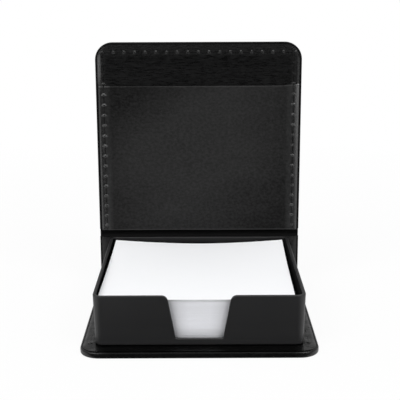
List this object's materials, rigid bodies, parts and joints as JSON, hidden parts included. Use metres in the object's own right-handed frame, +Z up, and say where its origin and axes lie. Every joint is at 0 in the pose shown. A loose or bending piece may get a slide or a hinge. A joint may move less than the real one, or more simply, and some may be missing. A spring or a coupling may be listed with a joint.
{
  "type": "memo paper holder",
  "caption": "Leatherette desk holder for loose square note paper: a moulded tray with a front finger notch on a stiff base, with a hinged cover that has a sewn pocket inside.",
  "frame": {"origin": "on the desk, under the middle of the footprint with the cover open upright", "axes": "+X to the right seen from the front, +Y to the back where the spine stands, +Z up along the open cover"},
  "size_m": [0.108, 0.1076, 0.1312],
  "materials": {
    "leatherette": "satin",
    "lining": "satin",
    "pocket": "satin",
    "greyboard": "matte",
    "thread": "satin",
    "tray": "matte",
    "tape": "matte",
    "paper": "matte"
  },
  "bodies": {
    "case": {"base_skin": "leatherette", "base_board": "greyboard", "base_lining": "lining", "base_stitches": "thread", "spine_skin": "leatherette", "spine_board": "greyboard", "spine_lining": "lining", "spine_stitches": "thread", "fold_skin": "leatherette", "fold_lining": "lining", "tray": "tray", "tray_tape_left": "tape", "tray_tape_right": "tape", "spine_tape": "tape", "hinge_skin": "leatherette", "hinge_lining": "lining"},
    "cover": {"cover_skin": "leatherette", "cover_board": "greyboard", "cover_lining": "lining", "cover_pocket": "pocket", "cover_stitches": "thread"},
    "paper": {"paper_block": "paper", "paper_top": "paper"}
  },
  "joints": [
    {"name": "cover_hinge", "type": "hinge", "parent": "case", "child": "cover", "pos_m": [0, 0.0524, 0.0292], "axis": [-1, 0, 0], "range_deg": [-90, 105], "deforming": ["hinge_skin", "hinge_lining"]},
    {"name": "paper_lift", "type": "slide", "parent": "case", "child": "paper", "axis": [0, 0, 1], "range_m": [0, 0.0028]}
  ]
}
